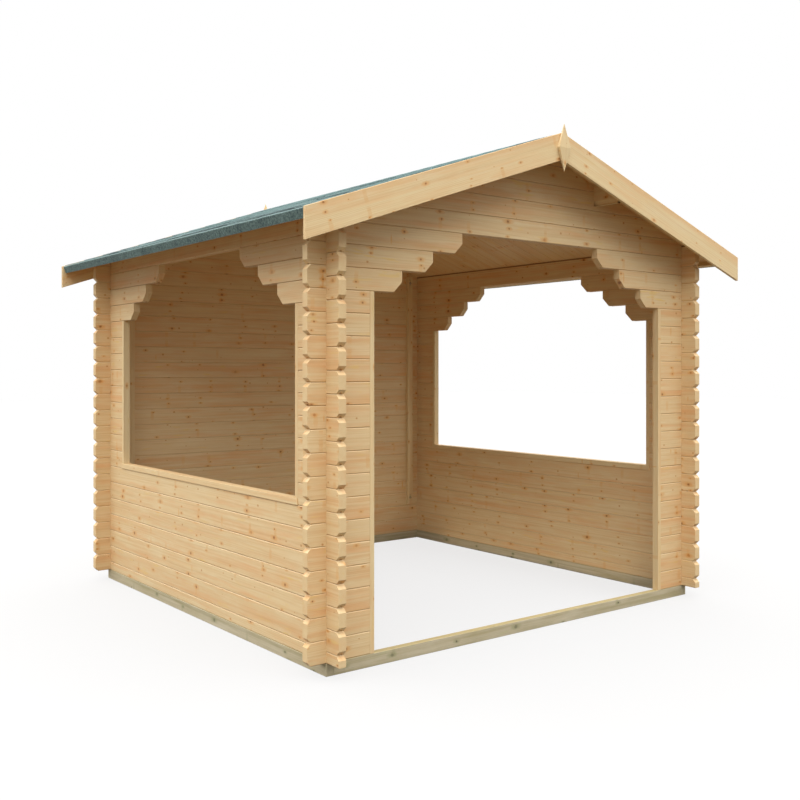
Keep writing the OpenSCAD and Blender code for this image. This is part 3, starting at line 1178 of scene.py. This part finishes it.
@dataclass
class Trim:
    """Jambs, sills, barge boards, finials, battens, purlins and braces."""

    nodes: Mapping[str, Object]
    easing: float = 0.002
    point_easing: float = 0.0006
    point_share: float = 0.85
    purlin_cut: float = 0.030
    blush_depth: float = 0.050

    def groups(self) -> List[Tuple[Lay, List[str]]]:
        """The ways in which the boards lie, with the nodes of each.

        Returns:
            Each lay and the names of its nodes.
        """
        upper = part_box("front_left_barge_board")[1].z * math.cos(ROOF_PITCH) - self.blush_depth
        barge = Lay(Grain.BARGE, split_x=True, split_y=True, seed=811.0, blush_above=upper)
        upright = Lay(Grain.ALONG_Z, split_x=True, split_y=True, seed=839.0)
        level = Lay(Grain.ALONG_Y, split_x=True, seed=853.0)
        jambs = [f"{place}_jambs" for place in ("door", "left_window", "right_window")]
        return [
            (barge, [f"{end}_{side}_barge_board" for end in ENDS for side in SIDES]),
            (replace(upright, split_x=False, seed=823.0), [f"{end}_finial" for end in ENDS]),
            (upright, [*jambs, "storm_braces"]),
            (level, [f"{side}_{kind}" for kind in ("window_sill", "eave_batten") for side in SIDES]),
            (replace(level, seed=877.0), [f"{place}_purlin" for place in (*SIDES, "ridge")]),
        ]

    def point(self, mesh: Mesh) -> None:
        """Thins a finial towards both of its tips.

        Args:
            mesh: The finial's mesh.
        """
        work = bmesh.new()
        work.from_mesh(mesh)
        heights = [vertex.co.z for vertex in work.verts]
        depths = [vertex.co.y for vertex in work.verts]
        middle, half = (max(heights) + min(heights)) / 2, (max(heights) - min(heights)) / 2
        centre = (max(depths) + min(depths)) / 2
        parts = [*work.verts, *work.edges, *work.faces]
        bmesh.ops.bisect_plane(work, geom=parts, plane_co=(0.0, 0.0, middle), plane_no=(0.0, 0.0, 1.0))
        for vertex in work.verts:
            share = 1.0 - self.point_share * abs(vertex.co.z - middle) / half
            vertex.co.y = centre + (vertex.co.y - centre) * share
        work.to_mesh(mesh)
        work.free()

    def build(self) -> None:
        """Eases the boards, shapes the finials and the purlins' ends, and dresses them."""
        for lay, members in self.groups():
            material = TRIM_SPRUCE.material(lay)
            for member in members:
                pointed = member.endswith("finial")
                easing = self.point_easing if pointed else self.easing
                cut = self.purlin_cut if member.endswith("purlin") else 0.0
                mesh = eased_copy(self.nodes[member], easing, cut)
                if pointed:
                    self.point(mesh)
                add_piece(f"{member}_eased", mesh, material, [member])


@dataclass
class StormBolts:
    """Washers, nuts and bolt ends in the slots of the storm braces."""

    slot_inset: float = 0.055
    brace_w: float = 0.050
    brace_t: float = 0.028
    washer: Tuple[float, float, int] = (0.012, 0.002, 28)
    nut: Tuple[float, float, int] = (0.0075, 0.0065, 6)
    stud: Tuple[float, float, int] = (0.004, 0.012, 12)

    @property
    def parts(self) -> Dict[str, Tuple[float, float, int]]:
        """Radius, height and corners of each part of a bolt."""
        return {"Washer": self.washer, "Nut": self.nut, "Stud": self.stud}

    def places(self) -> Tuple[List[Point], List[float]]:
        """The places of the bolts.

        Returns:
            Middles of the slots on the braces' inner faces, and the way that each faces along Y.
        """
        low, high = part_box("storm_braces")
        found = [
            ((x, y, z), way)
            for x in (low.x + self.brace_w / 2, high.x - self.brace_w / 2)
            for y, way in ((low.y + self.brace_t, 1.0), (high.y - self.brace_t, -1.0))
            for z in (low.z + self.slot_inset, high.z - self.slot_inset)
        ]
        return [place for place, _ in found], [way for _, way in found]

    def tree(self, material: Material) -> GeoTree:
        """The tree that sets a washer, a nut and a bolt's end on every point.

        Args:
            material: The bolts' material.

        Returns:
            The tree.
        """
        geo = GeoTree("storm bolts")
        joined = geo.node("GeometryNodeJoinGeometry")
        base: Any = 0.0
        for name, (_, _, corners) in self.parts.items():
            radius, tall = geo.size(f"{name} radius"), geo.size(f"{name} height")
            inputs = {"Vertices": corners, "Radius": radius, "Depth": tall}
            disc = geo.node("GeometryNodeMeshCylinder", None, inputs).outputs["Mesh"]
            rise = geo.maths("ADD", geo.maths("MULTIPLY", tall, 0.5), base)
            geo.tree.links.new(geo.moved(disc, geo.vector({2: rise})), joined.inputs[0])
            base = tall if name == "Washer" else base
        turn = geo.vector({0: geo.maths("MULTIPLY", geo.attribute("facing"), -math.pi / 2)})
        return geo.finish(geo.spread(geo.start, joined.outputs[0], Rotation=turn), material)

    def build(self) -> None:
        """Makes the bolts as one piece."""
        points, facing = self.places()
        sizes: Dict[str, float] = {}
        for name, (radius, height, _) in self.parts.items():
            sizes.update({f"{name} radius": radius, f"{name} height": height})
        slots = points_mesh("slots", points, {"facing": facing})
        add_piece("storm_brace_bolts", self.tree(ZincFinish().material()).run(slots, sizes))


@dataclass
class Slopes:
    """The lines of the roof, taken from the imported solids."""

    board: float = 0.018
    sine: float = math.sin(ROOF_PITCH)
    cosine: float = math.cos(ROOF_PITCH)
    ridge: float = field(init=False)
    reach: float = field(init=False)
    half_length: float = field(init=False)

    def __post_init__(self) -> None:
        """Reads the roof boards' box."""
        low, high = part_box("right_roof_boards")
        self.half_length = (high.y - low.y) / 2
        self.ridge = high.z - self.board / self.cosine
        self.reach = (high.x - self.board * self.sine) / self.cosine

    def at(self, side: int, down: float, y: float, off: float) -> Point:
        """The point so far down the right (1) or left (-1) slope and off the boards' underside."""
        level = down * self.cosine + off * self.sine
        return (side * level, y, self.ridge - down * self.sine + off * self.cosine)

    def plumb(self, off: float) -> float:
        """Distance down the slope at which a layer meets the plumb line under the ridge."""
        return -off * math.tan(ROOF_PITCH)


@dataclass
class RoofBoards:
    """Tongued boards that run down each slope, with V-joints below."""

    slopes: Slopes
    count: int = 29
    joint: float = 0.0006
    vee: float = 0.0022
    lift: float = 0.00005

    def one_board(self, side: int, width: float) -> Mesh:
        """The mesh of one board about y = 0.

        Args:
            side: 1 on the right slope and -1 on the left.
            width: Width of the board.

        Returns:
            The mesh.
        """
        half, thick, low, at = width / 2, self.slopes.board, self.lift, self.slopes.at
        under = [(-half + self.vee, low), (half - self.vee, low), (half, low + self.vee)]
        section = [*under, (half, thick), (-half, thick), (-half, low + self.vee)]
        head = [at(side, self.slopes.plumb(off) + self.joint / 2, y, off) for y, off in section]
        foot = [at(side, self.slopes.reach, y, off) for y, off in section]
        return closed_mesh("board", [[head, foot]])

    def tree(self, board: Object, material: Material) -> GeoTree:
        """The tree that lays the boards side by side.

        Args:
            board: An object that holds one board.
            material: The boards' material.

        Returns:
            The tree.
        """
        geo = GeoTree("roof boards")
        inputs = {
            "Count": geo.size("Boards", "NodeSocketInt"),
            "Start Location": geo.size("First", "NodeSocketVector"),
            "Offset": geo.size("Pace", "NodeSocketVector"),
        }
        line = geo.node("GeometryNodeMeshLine", {"mode": "OFFSET"}, inputs)
        source = geo.node("GeometryNodeObjectInfo", None, {"Object": board})
        return geo.finish(geo.spread(line.outputs["Mesh"], source.outputs["Geometry"]), material)

    def build(self) -> None:
        """Lays both slopes."""
        end = self.slopes.half_length
        pace = 2 * end / self.count
        sizes = {"Boards": self.count, "First": (0.0, pace / 2 - end, 0.0), "Pace": (0.0, pace, 0.0)}
        for side, name, grain in ((1, "right", Grain.RIGHT_SLOPE), (-1, "left", Grain.LEFT_SLOPE)):
            # The V-joints between boards get dark joints with painted shadow along both edges
            lay = Lay(grain, pace, -end, seed=907.0 + 90.0 * side, groove=self.vee)
            # The ceiling's spruce carries painted warm shade
            material = CEILING_SPRUCE_PAINTED_SHADE.material(lay)
            board = add_object("board", self.one_board(side, pace - self.joint))
            mesh = self.tree(board, material).run(points_mesh("none", [], {}), sizes)
            bpy.data.objects.remove(board)
            add_piece(f"{name}_roof_board_set", mesh, material, [f"{name}_roof_boards"])


@dataclass
class Shingles:
    """Three-tab felt shingles on an underlay, with felt folded over each eave and caps on the ridge."""

    slopes: Slopes
    layer: float = 0.004
    fit: float = 0.0003
    sheet: float = 0.0008
    tab: float = 1.0 / 3.0
    slot: float = 0.010
    exposure: float = 0.145
    lap: float = 0.030
    thick: float = 0.0024
    first_set: float = 0.014
    left_shift: float = 0.11
    right_shift: float = 0.03
    least_tab: float = 0.03
    last_row: float = 0.06
    ridge_gap: float = 0.004
    curl: float = 0.0007
    slew: float = 0.005
    slew_seed: int = 7
    tint_pace: float = 0.618
    fold: float = 0.030
    drip: float = 0.0005
    skin: float = 0.0020
    crown_share: float = 0.6
    sway_pace: float = 11.0
    lift_pace: float = 17.0
    roll: float = 0.009
    starter: float = 0.070
    feather: float = 0.0004
    seam: float = 0.005
    strip_l: float = 1.0
    strip_start: float = -0.783
    strip_step: float = 0.025
    wave: float = 0.0012
    ripples: float = 11.0
    cap_wing: float = 0.140
    cap_pace: float = 0.145
    cap_lap: float = 0.060
    cap_end: float = 0.001
    cap_level: float = 0.03

    @property
    def bed(self) -> float:
        """Height of the underlay's bottom over the boards' underside, square to the slope."""
        return self.slopes.board + self.fit

    @property
    def eave(self) -> float:
        """Distance down the slope to the outer face of the covering."""
        return self.slopes.reach + self.fit + self.layer

    @property
    def rise(self) -> float:
        """Height by which a tab's lower edge lies over its upper one."""
        return self.thick / (1.0 - self.lap / (self.exposure + self.lap))

    def underlay(self) -> Mesh:
        """The dark sheet below the tabs, turned down behind the eave strips.

        Returns:
            The mesh.
        """
        end, at = self.slopes.half_length, self.slopes.at
        top = self.bed + self.sheet
        face, back = self.eave - self.skin, self.slopes.reach + self.fit
        outline = [
            (self.slopes.plumb(self.bed), self.bed),
            (back, self.bed),
            (back, -self.fold),
            (face, -self.fold),
            (face, top - self.roll),
            (face - self.roll, top),
            (self.slopes.plumb(top), top),
        ]
        bodies = [[[at(side, s, y, n) for s, n in outline] for y in (-end, end)] for side in (-1, 1)]
        return closed_mesh("underlay", bodies)

    def strip_ring(self, side: int, y: float) -> List[Point]:
        """The outline of an eave strip at one place along the eave.

        Args:
            side: 1 on the right slope and -1 on the left.
            y: Place along the eave.

        Returns:
            Its corners.
        """
        sway = noise.noise(Vector((y * self.sway_pace, side * 3.7, 0.3))) * self.wave
        lift = noise.noise(Vector((y * self.lift_pace, side * 5.1, 9.2))) * self.wave
        low, top = -self.fold - self.drip, self.bed + self.sheet
        face, roll = self.eave - self.skin, self.roll
        outer = face + self.skin + sway
        crown = top + self.skin * self.crown_share + lift
        turn = [math.radians(a) for a in (0.0, 22.5, 45.0, 67.5, 90.0)]
        bend = [(outer - roll + roll * math.cos(a), crown - roll + roll * math.sin(a)) for a in turn]
        inner = face - self.starter
        outline = [(face, low), (outer, low), (outer, (low + crown) / 2), *bend]
        outline += [(inner, top + self.feather), (inner, top), (face - roll, top), (face, top - roll)]
        return [self.slopes.at(side, s, y, n) for s, n in outline]

    def eave_strips(self) -> Mesh:
        """The felt strips that fold over both eaves, laid end to end with narrow seams.

        Returns:
            The mesh.
        """
        end = self.slopes.half_length
        marks = [self.strip_start + i * self.strip_l for i in range(-3, 5)]
        marks = [-end - self.seam, *(m for m in marks if -end < m < end), end + self.seam]
        bodies = []
        for side in (-1, 1):
            for low, high in zip(marks, marks[1:]):
                first, last = max(low + self.seam / 2, -end), min(high - self.seam / 2, end)
                count = max(4, int((last - first) / self.strip_step))
                places = [first + (last - first) * i / count for i in range(count + 1)]
                bodies.append([self.strip_ring(side, y) for y in places])
        return closed_mesh("strips", bodies)

    def tabs(self) -> Tuple[List[Point], Dict[str, List[float]]]:
        """Places and sizes of all tabs.

        Returns:
            Their middles, and their widths, lengths, sides and tints by attribute name.
        """
        points: List[Point] = []
        rows: List[Tuple[float, float, float, float]] = []
        end = self.slopes.half_length
        first = self.eave - self.first_set
        lie = self.bed + self.sheet + (self.rise + self.thick) / 2
        for side, shift in ((-1, self.left_shift), (1, self.right_shift)):
            for row in range(int((first - self.last_row) / self.exposure) + 1):
                butt = first - row * self.exposure
                length = min(self.exposure + self.lap, butt - self.ridge_gap)
                edge = -end - self.tab + ((row % 2) * self.tab / 2 + shift) % self.tab
                index = 0
                while edge < end:
                    low, high = max(edge, -end), min(edge + self.tab, end)
                    if high - low > self.least_tab:
                        # A steady random number from the tab's row, place and side
                        mark = math.sin(row * 12.9898 + index * 78.233 + side * 37.719) * 43758.5453
                        luck = mark - math.floor(mark)
                        off = lie + self.curl * luck * luck
                        points.append(self.slopes.at(side, butt - length / 2, (low + high) / 2, off))
                        rows.append((high - low - self.slot, length, float(side), luck))
                    edge += self.tab
                    index += 1
        names = ("tab_width", "tab_length", "tab_side", "tab_tint")
        return points, dict(zip(names, map(list, zip(*rows))))

    def tab_tree(self, material: Material) -> GeoTree:
        """The tree that sets a thin plate on every point, tilted over the row below.

        Args:
            material: The shingles' material.

        Returns:
            The tree.
        """
        geo = GeoTree("shingle tabs")
        thick, pitch, ripple = geo.size("Tab thickness"), geo.size("Slope"), geo.size("Ripple")
        inputs = {"Size": (1.0, 1.0, 1.0), "Vertices X": 5, "Vertices Y": 7, "Vertices Z": 2}
        plate = geo.node("GeometryNodeMeshCube", None, inputs).outputs["Mesh"]
        scale = geo.vector({0: geo.attribute("tab_length"), 1: geo.attribute("tab_width"), 2: thick})
        about = geo.maths("MULTIPLY", geo.maths("LESS_THAN", geo.attribute("tab_side"), 0.0), math.pi)
        limits = {2: -self.slew, 3: self.slew, "Seed": self.slew_seed}
        slew = geo.node("FunctionNodeRandomValue", {"data_type": "FLOAT"}, limits).outputs[1]
        turn = geo.vector({1: pitch, 2: geo.maths("ADD", about, slew)})
        plates = geo.realize(geo.spread(geo.start, plate, Rotation=turn, Scale=scale))
        waves = {"Scale": self.ripples, "Detail": 1.0}
        wave = geo.node("ShaderNodeTexNoise", {"noise_dimensions": "3D"}, waves).outputs[0]
        rise = geo.vector({2: geo.maths("MULTIPLY", wave, ripple)})
        shaped = geo.node("GeometryNodeSetPosition", None, {"Geometry": plates, "Offset": rise})
        return geo.finish(shaped.outputs[0], material)

    def cap_mesh(self) -> Mesh:
        """One ridge cap about y = 0, folded over the ridge.

        Returns:
            The mesh.
        """
        at, plumb = self.slopes.at, self.slopes.plumb
        low = self.bed + self.sheet + self.rise
        high = low + self.thick
        wing, reach = self.cap_wing, (self.cap_pace + self.cap_lap) / 2
        outline = [(1, plumb(low), low), (1, wing, low), (1, wing, high), (1, plumb(high), high)]
        outline += [(-1, wing, high), (-1, wing, low)]
        rings = [[at(side, s, y, n) for side, s, n in outline] for y in (-reach, reach)]
        return closed_mesh("cap", [rings])

    def cap_tree(self, cap: Object, material: Material) -> GeoTree:
        """The tree that lays the caps along the ridge, each over the last.

        Args:
            cap: An object that holds one cap.
            material: The caps' material.

        Returns:
            The tree.
        """
        geo = GeoTree("ridge caps")
        tilt, level = geo.size("Tilt", "NodeSocketVector"), geo.size("Level", "NodeSocketVector")
        source = geo.node("GeometryNodeObjectInfo", None, {"Object": cap}).outputs["Geometry"]
        flip = {0: level, "Scale": -1.0}
        down = geo.node("ShaderNodeVectorMath", {"operation": "SCALE"}, flip).outputs[0]
        return geo.finish(geo.spread(geo.start, geo.moved(source, down), Rotation=tilt), material)

    def ridge_caps(self, material: Material) -> Mesh:
        """Lays the caps from end to end of the ridge.

        Args:
            material: The caps' material.

        Returns:
            The mesh.
        """
        cap = add_object("cap", self.cap_mesh())
        room = self.slopes.half_length - (self.cap_pace + self.cap_lap) / 2 - self.cap_end
        count = math.ceil(2 * room / self.cap_pace)
        pace = 2 * room / count
        level = self.slopes.ridge + self.cap_level
        places = [(0.0, i * pace - room, level) for i in range(count + 1)]
        tints = [(i * self.tint_pace) % 1.0 for i in range(count + 1)]
        mesh = self.cap_tree(cap, material).run(
            points_mesh("caps", places, {"tab_tint": tints}),
            {"Tilt": (self.thick / pace, 0.0, 0.0), "Level": (0.0, 0.0, level)},
        )
        bpy.data.objects.remove(cap)
        return mesh

    def build(self) -> None:
        """Makes the underlay, the eave strips, the tabs and the ridge caps."""
        covering = FELT.material("shingle tabs", 30.0, "tab_tint")
        edging = EDGE_FELT.material("eave strips", 5.0)
        under = UNDERLAY_FELT.material("below", 30.0)
        add_piece("shingle_underlay", self.underlay(), under, ["roof_shingles"])
        add_piece("eave_felt_strips", self.eave_strips(), edging)
        points, data = self.tabs()
        slope = ROOF_PITCH - self.rise / (self.exposure + self.lap)
        sizes = {"Tab thickness": self.thick, "Slope": slope, "Ripple": self.wave}
        mesh = self.tab_tree(covering).run(points_mesh("tabs", points, data), sizes)
        add_piece("shingle_tabs", mesh)
        add_piece("ridge_caps", self.ridge_caps(covering))


@dataclass
class Studio:
    """Camera, light and floor."""

    eye: Point = (-4.0196, -5.3832, 1.4981)
    heading: float = 37.621
    sensor: float = 36.0
    lens: float = 43.674
    shift_x: float = -0.0006
    shift_y: float = -0.03854
    clip_end: float = 200.0
    sky: float = 0.55
    sky_colour: Colour = (0.98, 0.99, 1.0)
    white: Colour = (1.0, 1.0, 1.0)
    sun: float = 5.4
    sun_spread: float = 120.0
    sun_from: Point = (-0.11, -0.03, 1.0)
    sun_colour: Colour = (1.0, 0.985, 0.96)
    fill: float = 4.5
    fill_size: float = 2.0
    fill_at: Point = (0.55, 0.0, 0.01)
    fill_colour: Colour = (1.0, 0.84, 0.62)
    floor_size: float = 80.0
    floor_level: float = -0.0005
    floor_bounce: Colour = (0.105, 0.083, 0.055)
    floor_pale: float = 0.13
    floor_glow: float = 0.76

    def camera(self) -> None:
        """Sets the camera at the photograph's place."""
        data = bpy.data.cameras.new("camera")
        data.sensor_width = self.sensor
        data.lens = self.lens
        data.shift_x = self.shift_x
        data.shift_y = self.shift_y
        data.clip_end = self.clip_end
        made = add_object("camera", data)
        made.location = self.eye
        made.rotation_euler = (math.radians(90.0), 0.0, -math.radians(self.heading))
        bpy.context.scene.camera = made

    @staticmethod
    def lamp(name: str, kind: str, energy: float, colour: Colour) -> Object:
        """Adds a lamp.

        Args:
            name: Name of the lamp.
            kind: Blender's name of its type.
            energy: Its strength.
            colour: Its colour.

        Returns:
            The lamp's object.
        """
        data = bpy.data.lights.new(name, kind)
        data.energy = energy
        data.color = colour
        return add_object(name, data)

    def light(self) -> None:
        """Sets a broad soft sun, a low fill inside the gazebo and an even sky that shows white."""
        sun = self.lamp("soft sun", "SUN", self.sun, self.sun_colour)
        sun.data.angle = math.radians(self.sun_spread)
        sun.rotation_euler = Vector(self.sun_from).to_track_quat("Z", "Y").to_euler()
        fill = self.lamp("fill", "AREA", self.fill, self.fill_colour)
        fill.data.size = self.fill_size
        fill.location = self.fill_at
        fill.rotation_euler = (math.pi, 0.0, 0.0)
        fill.visible_camera = False
        world = bpy.data.worlds.new("studio")
        bpy.context.scene.world = world
        world.use_nodes = True
        nodes = NodeSet(world.node_tree)
        sky = nodes.node("ShaderNodeBackground", None, {"Color": self.sky_colour, "Strength": self.sky})
        white = nodes.node("ShaderNodeBackground", None, {"Color": self.white, "Strength": 1.0})
        inputs = {0: self.seen(nodes), 1: sky.outputs[0], 2: white.outputs[0]}
        mix = nodes.node("ShaderNodeMixShader", None, inputs)
        nodes.node("ShaderNodeOutputWorld", None, {0: mix.outputs[0]})

    @staticmethod
    def seen(nodes: NodeSet) -> NodeSocket:
        """A factor of one for rays that show the background as it is seen.

        Args:
            nodes: The node tree that it goes into.

        Returns:
            The factor.
        """
        path = nodes.node("ShaderNodeLightPath").outputs
        socket = path["Is Camera Ray"]
        for name in ("Is Glossy Ray", "Is Transmission Ray"):
            inputs = {0: socket, 1: path[name]}
            socket = nodes.node("ShaderNodeMath", {"operation": "MAXIMUM"}, inputs).outputs[0]
        return socket

    def floor(self) -> None:
        """Lays the pale floor, which keeps the gazebo's soft shadow."""
        half, level = self.floor_size / 2, self.floor_level
        mesh = bpy.data.meshes.new("floor")
        corners = [(-half, -half, level), (half, -half, level), (half, half, level), (-half, half, level)]
        mesh.from_pydata(corners, [], [(0, 1, 2, 3)])
        graph = Graph("pale floor")
        shade = graph.node("ShaderNodeBsdfDiffuse", None, {"Color": self.floor_bounce})
        pale = graph.node("ShaderNodeBsdfDiffuse", None, {"Color": (self.floor_pale,) * 3})
        glow = graph.node("ShaderNodeEmission", None, {"Color": self.white, "Strength": self.floor_glow})
        lit = graph.node("ShaderNodeAddShader", None, {0: pale.outputs[0], 1: glow.outputs[0]})
        inputs = {0: self.seen(graph), 1: shade.outputs[0], 2: lit.outputs[0]}
        mix = graph.node("ShaderNodeMixShader", None, inputs)
        graph.node("ShaderNodeOutputMaterial", None, {"Surface": mix.outputs[0]})
        mesh.materials.append(graph.material)
        made = add_object("floor", mesh)

    def build(self) -> None:
        """Sets up the whole studio."""
        self.camera()
        self.light()
        self.floor()
        bpy.context.scene.view_settings.view_transform = "Standard"


def main() -> None:
    """Dresses the gazebo and sets it in the studio."""
    logging.basicConfig(level=logging.INFO, format="%(message)s")
    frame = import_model()
    nodes = frame["nodes"]
    Studio().build()
    LogWalls(nodes).dress()
    BaseFrame(nodes).build()
    Trim(nodes).build()
    slopes = Slopes()
    RoofBoards(slopes).build()
    Shingles(slopes).build()
    StormBolts().build()


if __name__ == "__main__":
    main()
